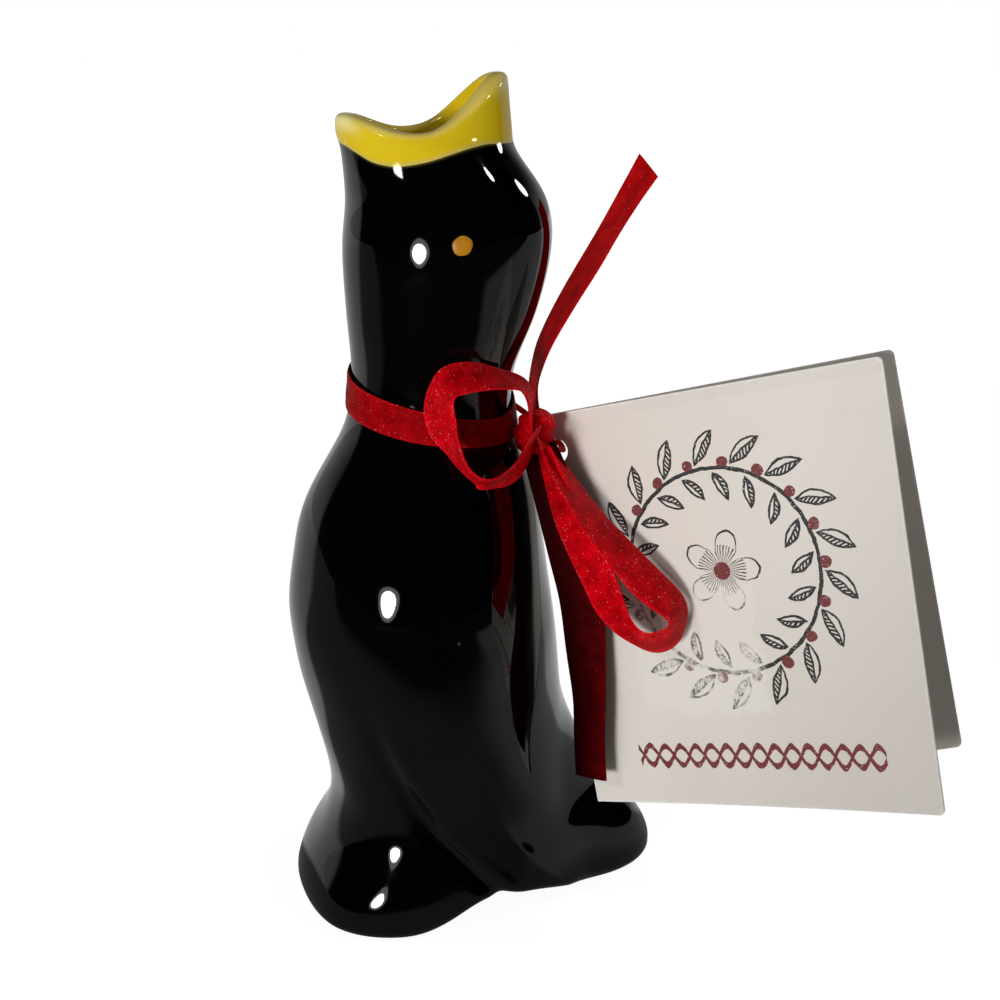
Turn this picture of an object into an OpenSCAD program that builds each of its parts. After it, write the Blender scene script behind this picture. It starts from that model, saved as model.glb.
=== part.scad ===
// Hollow porcelain pie bird with a ribbon bow and a folded hang tag
// Frame: origin on the table under the middle of the foot, +Z up, beak towards -X, bird's left side -Y

/* [Porcelain bird] */
// Height from the table to the tip of the upper beak
bird_h = 114; // [108:1:120]
// Length of the foot from breast to tail
foot_l = 53.5; // [50:0.5:57]
// Width of the foot across the two side arches
foot_w = 36; // [33:0.5:40]
// Waist diameter, front to back
waist_d = 38.3; // [36:0.1:41]
// Belly diameter
belly_d = 37; // [34:0.5:38]
// Neck diameter under the ribbon
neck_d = 21.7; // [20:0.1:23]
// Head, front to back
head_d = 27.4; // [26:0.1:29]
// Head, side to side
head_w = 24.8; // [22:0.2:27]
// Open beak, front to back
mouth_l = 22.7; // [20:0.1:25]
// Open beak, side to side
mouth_w = 18; // [15:0.5:20]
// Wall of the casting
wall = 3; // [2.4:0.1:3.4]
// Height of the steam arch on each side of the foot
arch_h = 4.7; // [4.4:0.1:6]
// Diameter of an eye dot
eye_d = 2.6; // [2:0.1:3.2]
// How far an eye dot stands off the head
eye_t = 0.3; // [0.2:0.05:0.5]

/* [Ribbon] */
// Ribbon width
ribbon_w = 6; // [5:0.25:6.5]
// Ribbon thickness
ribbon_t = 0.35; // [0.25:0.05:0.5]
// Running gap between the ribbon and the neck
neck_gap = 0.3; // [0.25:0.05:0.6]
// Knot diameter
knot_d = 5.6; // [5:0.2:6.2]
// Diameter of the gathered strand through the tag
strand_d = 1.1; // [0.9:0.1:1.2]

/* [Hang tag] */
// Width of a leaf
tag_w = 49.5; // [44:0.5:54]
// Height of a leaf
tag_h = 54; // [48:0.5:58]
// Card thickness
card_t = 0.4; // [0.3:0.05:0.5]
// Punched hole
hole_d = 3.2; // [3:0.1:3.6]
// Angle between the leaves
tag_open = 28; // [20:1:36]

/* [Hidden] */

// Heights along the casting
waist_z = 0.15 * bird_h;
belly_z = 0.37 * bird_h;
shoulder_z = 0.515 * bird_h;
neck_z = 0.635 * bird_h;
head_z = 0.815 * bird_h;
saddle_z = 0.939 * bird_h;
front_tip_z = 0.958 * bird_h;
glaze_z = 0.917 * bird_h;

// Centre line of the casting, measured from the middle of the foot
waist_x = -2.5;
belly_x = -7.8;
neck_x = -6.1;
head_x = -3.55;
mouth_x = -6.35;

// Stations: height, centre, half length, half width
stations = [
    [0, -0.4, foot_l / 2, foot_w / 2],
    [0.03 * bird_h, 0.1, foot_l / 2 - 0.3, foot_w / 2 - 0.3],
    [0.08 * bird_h, 0, foot_l / 2 - 3.6, foot_w / 2 - 1.4],
    [0.118 * bird_h, waist_x + 0.75, waist_d / 2 + 0.8, foot_w / 2 - 1.9],
    [waist_z, waist_x, waist_d / 2, foot_w / 2 - 2],
    [0.24 * bird_h, -5.6, belly_d / 2 - 0.4, belly_d / 2 - 1.3],
    [belly_z, belly_x, belly_d / 2, belly_d / 2],
    [0.45 * bird_h, belly_x - 0.12, belly_d * 0.469, belly_d * 0.46],
    [shoulder_z, belly_x + 0.2, belly_d * 0.425, belly_d * 0.372],
    [neck_z - 4, neck_x - 0.3, neck_d / 2 + 0.7, neck_d / 2 + 0.7],
    [neck_z, neck_x, neck_d / 2, neck_d / 2],
    [neck_z + 4, neck_x + 0.4, neck_d / 2, neck_d / 2],
    [0.74 * bird_h, -4.35, head_d / 2 - 1.05, head_w / 2 - 0.8],
    [head_z, head_x, head_d / 2, head_w / 2],
    [0.865 * bird_h, head_x - 0.1, head_d / 2 - 0.7, head_w / 2 - 0.65],
    [0.92 * bird_h, mouth_x + 0.75, mouth_l / 2 + 0.15, mouth_w / 2 + 1.5],
    [saddle_z, mouth_x, mouth_l / 2, mouth_w / 2],
    [bird_h, mouth_x, mouth_l / 2 - 0.6, mouth_w / 2 - 1]
];

// Foot plan: narrow tail lobe, broad breast lobe, flutes between them
tail_a = 50;
flute_a = 98;
breast_a = 152;
arch_from = 8;
arch_top = 86;
arch_to = 125;
foot_round = 1.5;
lip = wall * 0.87;

seg = 48;
rows = 32;
rows_in = 20;

// Smooth value through the stations
function span(z, i = 0) = i >= len(stations) - 2 || z < stations[i + 1][0] ? i : span(z, i + 1);
function slope(i) = let (
    a = stations[max(i - 1, 0)],
    b = stations[min(i + 1, len(stations) - 1)])
    (b - a) / (b[0] - a[0]);
function at(z) = let (
    i = span(z),
    p = stations[i],
    q = stations[i + 1],
    h = q[0] - p[0],
    t = (z - p[0]) / h)
    p * (2 * t ^ 3 - 3 * t ^ 2 + 1) + slope(i) * h * (t ^ 3 - 2 * t ^ 2 + t)
    + q * (3 * t ^ 2 - 2 * t ^ 3) + slope(i + 1) * h * (t ^ 3 - t ^ 2);
function lobe(a) = abs(a) < flute_a
    ? cos(90 * min(1, abs(a) / tail_a)) ^ 3.7
    : sin(90 * min(1, (abs(a) - flute_a) / (breast_a - flute_a))) ^ 1.9;
function pinch(z) = 2 - 0.8 * max(0, min(1, (z - head_z) / (saddle_z - head_z)));
function reach(z, a) = let (q = at(z)) z < belly_z
    ? q[3] + (q[2] - q[3]) * lobe(a)
    : q[2] - (q[2] - q[3]) * abs(sin(a)) ^ pinch(z);
function skin(z, a, inset) = let (r = reach(z, a) - inset) [at(z)[1] + r * cos(a), r * sin(a), z];
function turn(i) = 360 * i / seg - 180;
function arch(a) = arch_h * (abs(a) < arch_top
    ? sin(90 * max(0, abs(a) - arch_from) / (arch_top - arch_from)) ^ 2.1
    : cos(90 * min(1, (abs(a) - arch_top) / (arch_to - arch_top))) ^ 2);
function edge_inset(h) = h >= foot_round ? 0 : foot_round - sqrt(foot_round ^ 2 - (foot_round - h) ^ 2);
function glaze(a) = glaze_z + 0.3 * cos(a) + 0.5 * cos(2 * a) - 0.5 * cos(3 * a);
function rim(a) = let (u = cos(a)) saddle_z
    + (bird_h - saddle_z) * max(0, (u + 0.26) / 1.26) ^ 2.2
    + (front_tip_z - saddle_z) * max(0, (-0.26 - u) / 0.74) ^ 2.2;

// Closed tube from a list of rings, the last ring joined to the first; inward when the list starts inside
module rings(list, inward = false) {
    n = len(list[0]);
    m = len(list);
    points = [for (r = list) each r];
    faces = [for (i = [0:m - 1]) for (j = [0:n - 1]) let (
        a = i * n + j,
        b = i * n + (j + 1) % n,
        c = (i + 1) % m * n + (j + 1) % n,
        d = (i + 1) % m * n + j)
        each inward ? [[a, b, c], [a, c, d]] : [[a, c, b], [a, d, c]]];
    polyhedron(points, faces, convexity = 10);
}

foot_steps = [0, 0.2, 0.6, foot_round];

module bird_body() {
    outer = concat(
        [for (h = foot_steps) [for (i = [0:seg - 1]) let (a = turn(i)) skin(arch(a) + h, a, edge_inset(h))]],
        [for (k = [1:rows]) [for (i = [0:seg - 1]) let (
            a = turn(i),
            low = arch(a) + foot_round)
            skin(low + (glaze(a) - low) * k / rows, a, 0)]]);
    inner = [for (k = [rows_in:-1:0]) [for (i = [0:seg - 1]) let (a = turn(i))
        skin(arch(a) + (glaze(a) - arch(a)) * k / rows_in, a, wall)]];
    color([0.02, 0.02, 0.025]) rings(concat(outer, inner));
}

module beak() {
    outer = [for (k = [6:-1:0]) [for (i = [0:seg - 1]) let (
        a = turn(i),
        top = rim(a) - lip / 2)
        skin(glaze(a) + (top - glaze(a)) * k / 6, a, 0)]];
    round_over = [for (k = [4:-1:1]) [for (i = [0:seg - 1]) let (a = turn(i), b = 36 * k)
        skin(rim(a) - lip / 2 + lip / 2 * sin(b), a, lip / 2 * (1 - cos(b)))]];
    inner = [for (k = [0:5]) [for (i = [0:seg - 1]) let (
        a = turn(i),
        top = rim(a) - lip / 2)
        skin(glaze(a) + (top - glaze(a)) * k / 5, a, lip + (wall - lip) * (1 - k / 5))]];
    color([0.82, 0.7, 0.22]) rings(concat(inner, round_over, outer), true);
}

eye_z = 0.826 * bird_h;
eye_x = 0.2;
module eye(side) {
    color([0.9, 0.55, 0.12])
        translate([at(eye_z)[1] + eye_x, side * (at(eye_z)[3] - 0.25), eye_z])
            rotate([-90 * side, 0, 0])
                cylinder(d = eye_d, h = eye_t + 0.25, $fn = 48);
}
module eye_left() eye(-1);
module eye_right() eye(1);

// Ribbon: stations are a centre, counted from the neck, and a direction across the ribbon
spread = neck_d / 21.7;
function from_neck(p) = [neck_x + p[0] * spread, p[1] * spread, neck_z + p[2]];
function unit(v) = v / norm(v);
function knit(a, b, c, d, t) = 0.5 * (2 * b + (c - a) * t + (2 * a - 5 * b + 4 * c - d) * t ^ 2
    + (3 * b - a - 3 * c + d) * t ^ 3);
function through(list, n) = let (last = len(list) - 1) concat(
    [for (i = [0:last - 1]) for (k = [0:n - 1])
        knit(list[max(i - 1, 0)], list[i], list[i + 1], list[min(i + 2, last)], k / n)],
    [list[last]]);
function course(p, i) = unit(p[min(i + 1, len(p) - 1)] - p[max(i - 1, 0)]);

// Closed solid from rings with a cap at each end
module strip(list) {
    n = len(list[0]);
    m = len(list);
    points = [for (r = list) each r];
    sides = [for (i = [0:m - 2]) for (j = [0:n - 1]) let (
        a = i * n + j,
        b = i * n + (j + 1) % n,
        c = b + n,
        d = a + n)
        each [[a, b, c], [a, c, d]]];
    caps = [for (j = [1:n - 2]) each [[0, j + 1, j], [(m - 1) * n, (m - 1) * n + j, (m - 1) * n + j + 1]]];
    polyhedron(points, concat(sides, caps), convexity = 10);
}

module ribbon(route, n = 4) {
    p = through([for (s = route) from_neck(s[0])], n);
    w = through([for (s = route) s[1]], n);
    last = len(p) - 1;
    list = [for (i = [0:last]) let (
        t = course(p, i),
        across = i == last ? unit(w[i]) : unit(w[i] - (w[i] * t) * t),
        up = unit(cross(t, across)),
        x = across * ribbon_w / 2,
        y = up * ribbon_t / 2)
        [p[i] + x - y, p[i] - x - y, p[i] - x + y, p[i] + x + y]];
    color([0.6, 0.02, 0.03]) strip(list);
}

knot_at = [12.8, -7.6, -3.4];
left_route = [
    [[12.4, -9, -2.4], [0.2, 0.9, -0.4]],
    [[11.6, -10.5, 2], [0.35, 0.95, -0.05]],
    [[9, -12.5, 4.8], [0.05, 1, 0]],
    [[6, -14.5, 6], [0.15, 0.95, 0.2]],
    [[3, -15.5, 6.3], [0.05, 0.9, 0.4]],
    [[0.2, -16, 5.6], [-0.15, 0.9, 0.4]],
    [[-0.9, -16.3, 3], [-0.5, 0.85, -0.1]],
    [[-0.5, -17, 0.2], [-0.5, 0.8, -0.3]],
    [[0.6, -18, -2], [-0.25, 0.95, -0.25]],
    [[1.8, -19.2, -4.3], [-0.05, 0.95, -0.35]],
    [[3.3, -20, -5.7], [0.1, 0.9, -0.45]],
    [[5, -19.8, -6.1], [0.1, 0.9, -0.45]],
    [[7.8, -17.5, -5.7], [0.25, 0.85, -0.4]],
    [[10.2, -14, -5.1], [0.3, 0.85, -0.45]],
    [[12.5, -9.8, -4.2], [0.25, 0.9, -0.4]]
];
right_route = [
    [[13.8, -8.6, -4.4], [0.35, 0.95, -0.15]],
    [[16.2, -12.8, -9], [0.5, 0.85, 0]],
    [[18.9, -16.6, -13.2], [0.55, 0.8, 0.1]],
    [[21.6, -19.9, -16.3], [0.55, 0.8, 0.25]],
    [[24.5, -22.9, -19.5], [0.5, 0.75, 0.4]],
    [[27.4, -24.4, -21.9], [0.6, 0.8, 0.2]],
    [[28.2, -24.8, -23.7], [0.65, 0.75, -0.15]],
    [[27.3, -25.2, -25.9], [0.45, 0.6, -0.7]],
    [[24.9, -24.8, -27], [0.3, 0.6, -0.75]],
    [[22.4, -23.3, -26], [-0.05, 0.8, -0.6]],
    [[20.6, -20.5, -23.6], [-0.4, 0.8, -0.45]],
    [[19.5, -17.5, -20.9], [-0.5, 0.75, -0.35]],
    [[17.9, -15.2, -17.4], [-0.55, 0.8, -0.25]],
    [[16, -12.8, -13], [-0.45, 0.85, -0.2]],
    [[13.6, -9.6, -5.2], [-0.1, 0.9, -0.4]]
];
up_route = [
    [[13.4, -5.6, -2.2], [0, -1, 0.25]],
    [[13.2, -4, 1.3], [0, -1, 0.2]],
    [[14, -3, 4.4], [0.05, -1, 0.1]],
    [[15.3, -2.2, 7.6], [0.15, -1, 0.1]],
    [[18.1, -1.2, 12.2], [0.25, -0.95, 0.1]],
    [[21.5, 0.4, 16.9], [0.2, -0.95, -0.05]],
    [[25, 2.1, 21.9], [0.2, -1, -0.05]],
    [[30.3, 4.3, 29.4], [0.05, -0.85, -0.45]]
];
down_route = [
    [[13.2, -7, -5.2], [0.6, -0.7, 0.3]],
    [[15.2, -9.7, -11.7], [0.85, -0.45, 0.25]],
    [[16.9, -12.2, -19.4], [0.9, -0.4, 0.2]],
    [[18.2, -13.6, -25.4], [0.9, -0.45, 0.1]],
    [[18.6, -14.9, -32.1], [0.75, -0.6, 0.2]],
    [[18.9, -16.3, -38.9], [0.55, -0.8, 0.3]],
    [[18.9, -16.8, -44.5], [0.5, -0.8, 0.35]],
    [[19.1, -17.6, -49.8], [0.5, -0.8, 0.3]]
];

// Band about the neck, high on the breast, lower and gathered by the knot, clear of the casting all round
function clear_r(z) = let (q = at(z)) abs(q[1] - neck_x) + max(q[2], q[3]) + neck_gap;
function band_mid(a) = neck_z - 0.3 - 2.2 * cos(a) + 1.4 * sin(a) + 1.4 * max(0, cos(a - 25)) ^ 4;
function band_half(a) = ribbon_w * (0.46 - 0.18 * ((1 + cos(a + 45)) / 2) ^ 1.5);
function band_point(a, s, out) = let (
    z = band_mid(a) + s * band_half(a),
    r = clear_r(z) + out)
    [neck_x + r * cos(a), r * sin(a), z];
module neck_band() {
    list = [for (a = [0:6:354]) concat(
        [for (s = [-1:0.5:1]) band_point(a, s, 0)],
        [for (s = [1:-0.5:-1]) band_point(a, s, ribbon_t)])];
    color([0.6, 0.02, 0.03]) rings(list);
}
module bow_knot() {
    shape = [for (k = [0:12]) let (b = 90 - 15 * k) [knot_d / 2 * cos(b), knot_d * 0.55 * sin(b)]];
    color([0.6, 0.02, 0.03]) translate(from_neck(knot_at)) rotate([0, 25, -31])
        rotate_extrude($fn = 48) polygon(shape);
}
module loop_left() ribbon(left_route);
module loop_right() ribbon(right_route);
module tail_up() ribbon(up_route, 3);
module tail_down() ribbon(down_route, 3);

// Tag: u across from the spine, v down, n away from the bow
tag_corner = from_neck([13, -0.5, -3.6]);
tag_yaw = -42;
tag_lift = 17;
tag_lean = -6;
hole_u = 4.2;
hole_v = 5;
fold_gap = 0.15;
module on_tag() translate(tag_corner) rotate([0, 0, tag_yaw]) rotate([0, -tag_lift, 0])
    rotate([tag_lean, 0, 0]) children();

// Leaf drawn in x = u, z = -v, y = n
module leaf(start) {
    r = 0.8;
    translate([0, card_t, 0]) rotate([90, 0, 0]) linear_extrude(card_t) difference() {
        union() {
            translate([start, -tag_h]) square([tag_w - start - r, tag_h]);
            translate([start, r - tag_h]) square([tag_w - start, tag_h - 2 * r]);
            for (y = [-r, r - tag_h]) translate([tag_w - r, y]) circle(r, $fn = 32);
        }
        translate([hole_u, -hole_v]) circle(d = hole_d, $fn = 48);
    }
}
module tag_front() {
    color([0.88, 0.86, 0.82]) on_tag() {
        translate([0, -card_t, 0]) leaf(0);
        translate([0, 0, -tag_h]) cylinder(r = card_t, h = tag_h, $fn = 32);
    }
}
module tag_back() {
    color([0.86, 0.84, 0.8]) on_tag() rotate([0, 0, tag_open]) translate([0, 0.1, 0]) leaf(card_t + fold_gap);
}

// Gathered strand: round the spine, through both holes and up to the knot, as [u, v, n]
strand_u = hole_u - hole_d / 2 + strand_d / 2 + 0.1;
strand_route = [
    [-5, -3.4, 2.4],
    [-2.5, -0.5, 4],
    [0.2, 3, 4.9],
    [strand_u - 0.7, hole_v, 4],
    [strand_u - 0.2, hole_v, 1.6],
    [strand_u, hole_v, -0.2],
    [strand_u + 0.8, hole_v - 0.5, -2],
    [5.2, 2.6, -4.4]
];
module tag_strand() {
    p = through([for (s = strand_route) [s[0], s[2], -s[1]]], 5);
    list = [for (i = [0:len(p) - 1]) let (
        t = course(p, i),
        x = unit(cross(t, [0, 0, 1])),
        y = cross(x, t))
        [for (k = [0:9]) p[i] + (x * cos(36 * k) + y * sin(36 * k)) * strand_d / 2]];
    color([0.55, 0.02, 0.03]) on_tag() strip(list);
}

bird_body();
beak();
eye_left();
eye_right();
neck_band();
bow_knot();
loop_left();
loop_right();
tail_up();
tail_down();
tag_strand();
tag_front();
tag_back();
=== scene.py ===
import math

import bpy
import bmesh
import numpy as np
from mathutils import Matrix, Vector, geometry


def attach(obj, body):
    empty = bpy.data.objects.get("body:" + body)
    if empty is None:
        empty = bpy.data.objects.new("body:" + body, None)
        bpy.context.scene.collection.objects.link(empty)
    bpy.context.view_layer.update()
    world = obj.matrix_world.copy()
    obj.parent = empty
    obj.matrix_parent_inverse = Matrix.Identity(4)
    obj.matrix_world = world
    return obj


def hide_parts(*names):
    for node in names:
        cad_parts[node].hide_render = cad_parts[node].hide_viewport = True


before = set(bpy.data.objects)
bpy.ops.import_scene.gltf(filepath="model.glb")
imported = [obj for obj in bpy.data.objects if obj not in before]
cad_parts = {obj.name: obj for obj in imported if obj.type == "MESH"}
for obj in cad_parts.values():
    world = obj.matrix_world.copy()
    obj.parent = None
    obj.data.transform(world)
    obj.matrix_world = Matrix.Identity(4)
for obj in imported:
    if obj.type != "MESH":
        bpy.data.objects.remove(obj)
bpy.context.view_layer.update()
scene = bpy.context.scene
mm = 0.001
print("frame loaded:", len(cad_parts), "nodes")

camera = {
    "place": (-0.026719, -0.181219, 0.120),
    "turn": (71.1, 0.0, -9.422),  # degrees
    "lens": 50.4,
    "sensor": 36.0,
    "near": 0.01,
}


def placeCamera():
    data = bpy.data.cameras.new("photoCamera")
    data.lens = camera["lens"]
    data.sensor_width = camera["sensor"]
    data.clip_start = camera["near"]
    obj = bpy.data.objects.new("photoCamera", data)
    obj.location = camera["place"]
    obj.rotation_euler = [math.radians(a) for a in camera["turn"]]
    scene.collection.objects.link(obj)
    scene.camera = obj


placeCamera()
print("camera placed")


# a value that is a socket gets linked, anything else is set
def plug(tree, node, values):
    for key, value in values.items():
        if isinstance(value, bpy.types.NodeSocket):
            tree.links.new(value, node.inputs[key])
        else:
            node.inputs[key].default_value = value


def addNode(tree, kind, values=None, **settings):
    node = tree.nodes.new(kind)
    for key, value in settings.items():
        setattr(node, key, value)
    plug(tree, node, values or {})
    return node


def calc(tree, operation, *values, clamp=False):
    numbered = dict(enumerate(values))
    node = addNode(tree, "ShaderNodeMath", numbered, operation=operation, use_clamp=clamp)
    return node.outputs[0]


def times(tree, first, second):
    return calc(tree, "MULTIPLY", first, second)


def plus(tree, first, second):
    return calc(tree, "ADD", first, second)


def minus(tree, first, second):
    return calc(tree, "SUBTRACT", first, second)


def timesPlus(tree, first, second, third):
    return calc(tree, "MULTIPLY_ADD", first, second, third)


def sizeOf(tree, value):
    return calc(tree, "ABSOLUTE", value)


def gapTo(tree, value, middle):
    return sizeOf(tree, minus(tree, value, middle))


def distance(tree, x, y):
    return calc(tree, "SQRT", timesPlus(tree, x, x, times(tree, y, y)))


def sineOf(tree, value, rate):
    return calc(tree, "SINE", times(tree, value, rate))


def most(tree, *values):
    total = values[0]
    for value in values[1:]:
        total = calc(tree, "MAXIMUM", total, value)
    return total


# masks: 1 where the value is over or under its limit, 0 elsewhere
def over(tree, value, limit=0.0):
    return calc(tree, "GREATER_THAN", value, limit)


def under(tree, value, limit):
    return calc(tree, "LESS_THAN", value, limit)


def mixColor(tree, factor, first, second):
    node = addNode(tree, "ShaderNodeMix", {0: factor, 6: first, 7: second}, data_type="RGBA")
    return node.outputs[2]


def fade(tree, value, low, high, atLow=0.0, atHigh=1.0):
    node = addNode(
        tree, "ShaderNodeMapRange",
        {"Value": value, "From Min": low, "From Max": high, "To Min": atLow, "To Max": atHigh},
        interpolation_type="SMOOTHSTEP",
    )
    return node.outputs[0]


def noise(tree, vector, scale, detail=2.0, rough=0.5):
    values = {"Vector": vector, "Scale": scale, "Detail": detail, "Roughness": rough}
    return addNode(tree, "ShaderNodeTexNoise", values).outputs[0]


# distance to the nearest of scattered spots, and each spot's chance numbers
def spots(tree, vector, scale, scatter=1.0):
    values = {"Vector": vector, "Scale": scale, "Randomness": scatter}
    cells = addNode(tree, "ShaderNodeTexVoronoi", values, feature="F1").outputs
    chance = addNode(tree, "ShaderNodeSeparateColor", {"Color": cells["Color"]}).outputs
    return cells["Distance"], chance


def attribute(tree, name):
    return addNode(tree, "ShaderNodeAttribute", attribute_name=name).outputs["Fac"]


def objectPlace(tree):
    return addNode(tree, "ShaderNodeTexCoord").outputs["Object"]


def weaveMap(tree):
    return addNode(tree, "ShaderNodeUVMap", uv_map="weave").outputs[0]


def split(tree, vector):
    return addNode(tree, "ShaderNodeSeparateXYZ", {0: vector}).outputs


def bumpFrom(tree, height, strength, depth):
    values = {"Height": height, "Strength": strength, "Distance": depth}
    return addNode(tree, "ShaderNodeBump", values).outputs[0]


def newGroup(name, inputs, outputs):
    tree = bpy.data.node_groups.new(name, "ShaderNodeTree")
    for label, value in inputs.items():
        kind = "NodeSocketColor" if isinstance(value, tuple) else "NodeSocketFloat"
        socket = tree.interface.new_socket(label, in_out="INPUT", socket_type=kind)
        socket.default_value = value
    for label in outputs:
        kind = "NodeSocketColor" if label == "Color" else "NodeSocketFloat"
        tree.interface.new_socket(label, in_out="OUTPUT", socket_type=kind)
    start = tree.nodes.new("NodeGroupInput")
    end = tree.nodes.new("NodeGroupOutput")
    return tree, start.outputs, end


def useGroup(tree, group, values):
    return addNode(tree, "ShaderNodeGroup", values, node_tree=group).outputs


def newMaterial(name):
    material = bpy.data.materials.new(name)
    material.use_nodes = True
    tree = material.node_tree
    return material, tree, tree.nodes["Principled BSDF"]


# fired glaze: long ripples, fine orange peel and a few pinholes
def glazeGroup():
    tree, given, end = newGroup(
        "firedGlaze",
        {
            "Ripple Scale": 120.0,
            "Ripple": 0.3,
            "Peel Scale": 900.0,
            "Peel": 0.1,
            "Cloud Scale": 55.0,
            "Pinhole Scale": 210.0,
            "Pinholes": 0.5,
            "Smooth": 0.03,
            "Smeared": 0.09,
        },
        ["Roughness", "Height", "Cloud", "Pinhole"],
    )
    place = objectPlace(tree)
    ripple = noise(tree, place, given["Ripple Scale"], 1.0)
    peel = noise(tree, place, given["Peel Scale"], 2.0)
    cloud = noise(tree, place, given["Cloud Scale"], 4.0, 0.6)
    gap, chance = spots(tree, place, given["Pinhole Scale"])
    few = fade(tree, chance["Red"], 0.9, 0.93)  # about one spot in twelve
    hole = times(tree, fade(tree, gap, 0.02, 0.06, 1.0, 0.0), few)
    hole = times(tree, hole, given["Pinholes"])
    height = times(tree, ripple, given["Ripple"])
    height = timesPlus(tree, peel, given["Peel"], height)
    height = minus(tree, height, hole)
    smear = fade(tree, cloud, 0.5, 0.75)
    span = minus(tree, given["Smeared"], given["Smooth"])
    rough = timesPlus(tree, smear, span, given["Smooth"])
    plug(tree, end, {"Roughness": rough, "Height": height, "Cloud": cloud, "Pinhole": hole})
    return tree


weave = {  # how many in one ribbon width
    "warp": 30,
    "weft": 26,
    "twillAcross": 13.0,
    "twillAlong": 16.0,
    "flakesAcross": 34.0,
    "flakesAlong": 30.0,
    "scatter": 0.9,  # of the flakes, from 0 to 1
}


# glitter ribbon: woven ground, fine bright flakes, thicker selvedges, and a painted highlight along the
# edges
def ribbonGroup():
    tree, given, end = newGroup(
        "glitterRibbon",
        {
            "Ground": (0.5, 0.003, 0.008, 1),
            "Deep": (0.2, 0.0, 0.003, 1),
            "Spark": (1.0, 0.45, 0.45, 1),
            "Amount": 0.2,
        },
        ["Color", "Roughness", "Height"],
    )
    uv = weaveMap(tree)
    parts = split(tree, uv)
    across = parts["X"]
    along = parts["Y"]
    warp = sineOf(tree, across, 2 * math.pi * weave["warp"])
    weft = sineOf(tree, along, 2 * math.pi * weave["weft"])
    threads = times(tree, warp, weft)
    slant = timesPlus(tree, across, weave["twillAcross"], times(tree, along, weave["twillAlong"]))
    twill = sineOf(tree, slant, 2 * math.pi)
    slow = noise(tree, uv, 2.6, 3.0)
    patch = noise(tree, uv, 1.3, 2.0)
    column = times(tree, across, weave["flakesAcross"])
    row = times(tree, along, weave["flakesAlong"])
    grid = addNode(tree, "ShaderNodeCombineXYZ", {0: column, 1: row}).outputs[0]
    gap, chance = spots(tree, grid, 1.0, weave["scatter"])
    edge = gapTo(tree, across, 0.5)
    share = times(tree, given["Amount"], fade(tree, patch, 0.3, 0.7, 0.35, 1.6))
    # painted highlight: extra flakes along the edges, where the light catches them
    share = times(tree, share, fade(tree, edge, 0.3, 0.46, 0.8, 2.4))  # more flakes at the edges
    lit = over(tree, chance["Red"], minus(tree, 1.0, share))
    flake = under(tree, gap, timesPlus(tree, chance["Green"], 0.22, 0.16))
    bright = timesPlus(tree, calc(tree, "POWER", chance["Blue"], 2.2), 0.85, 0.15)
    grain = times(tree, times(tree, lit, flake), bright)
    selvedgeAndHighlight = fade(tree, edge, 0.43, 0.47)
    mottle = timesPlus(tree, twill, 0.16, timesPlus(tree, slow, 1.6, -0.33))
    shade = calc(tree, "MULTIPLY_ADD", threads, 0.22, mottle, clamp=True)
    color = mixColor(tree, shade, given["Deep"], given["Ground"])
    # painted highlight: the edges are lifted towards the ground colour; the same mask also thickens the
    # selvedges
    color = mixColor(tree, times(tree, selvedgeAndHighlight, 0.6), color, given["Ground"])
    color = mixColor(tree, grain, color, given["Spark"])
    rough = timesPlus(tree, grain, -0.3, 0.62)
    height = timesPlus(tree, threads, 0.35, times(tree, grain, 1.2))
    height = plus(tree, height, selvedgeAndHighlight)
    plug(tree, end, {"Color": color, "Roughness": rough, "Height": height})
    return tree


# card stock: fibres, flecks, rubbed edges
def cardGroup():
    tree, given, end = newGroup(
        "cardStock",
        {
            "Paper": (0.75, 0.7, 0.64, 1),
            "Stain": (0.6, 0.53, 0.45, 1),
            "Worn": (0.85, 0.83, 0.79, 1),
            "Edge": 10.0,
        },
        ["Color", "Height", "Rub"],
    )
    place = objectPlace(tree)
    fibre = noise(tree, place, 2600.0, 4.0, 0.65)
    tooth = noise(tree, place, 5200.0, 2.0)
    blotch = noise(tree, place, 70.0, 4.0, 0.6)
    nick = noise(tree, place, 900.0, 3.0, 0.7)
    near = timesPlus(tree, nick, -0.9, plus(tree, given["Edge"], 0.42))
    rub = fade(tree, near, 0.0, 0.25, 1.0, 0.0)
    stained = fade(tree, blotch, 0.45, 0.8, 0.0, 0.35)
    flecked = fade(tree, fibre, 0.35, 0.75, 0.1, 0.0)
    color = mixColor(tree, stained, given["Paper"], given["Stain"])
    color = mixColor(tree, flecked, color, given["Stain"])
    color = mixColor(tree, rub, color, given["Worn"])
    height = timesPlus(tree, fibre, 0.6, times(tree, tooth, 0.4))
    plug(tree, end, {"Color": color, "Height": height, "Rub": rub})
    return tree


firedGlaze = glazeGroup()
glitterRibbon = ribbonGroup()
cardStock = cardGroup()
print("shader groups built")


# points in millimetres, faces as index lists
def makePiece(name, points, faces, body, material, node, layers=None, uvs=None, crease=None):
    mesh = bpy.data.meshes.new(name)
    mesh.from_pydata([tuple(float(c) * mm for c in p) for p in points], [], faces)
    for label, values in (layers or {}).items():
        layer = mesh.attributes.new(label, "FLOAT", "POINT")
        layer.data.foreach_set("value", [float(v) for v in values])
    if uvs:
        layer = mesh.uv_layers.new(name="weave")
        for loop in mesh.loops:
            layer.data[loop.index].uv = uvs[loop.vertex_index]
    work = bmesh.new()
    work.from_mesh(mesh)
    bmesh.ops.recalc_face_normals(work, faces=work.faces)
    work.to_mesh(mesh)
    work.free()
    mesh.polygons.foreach_set("use_smooth", [True] * len(mesh.polygons))
    if crease:
        mesh.set_sharp_from_angle(angle=math.radians(crease))
    mesh.materials.append(material)
    obj = bpy.data.objects.new(name, mesh)
    scene.collection.objects.link(obj)
    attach(obj, body)
    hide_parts(node)
    return obj


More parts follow.
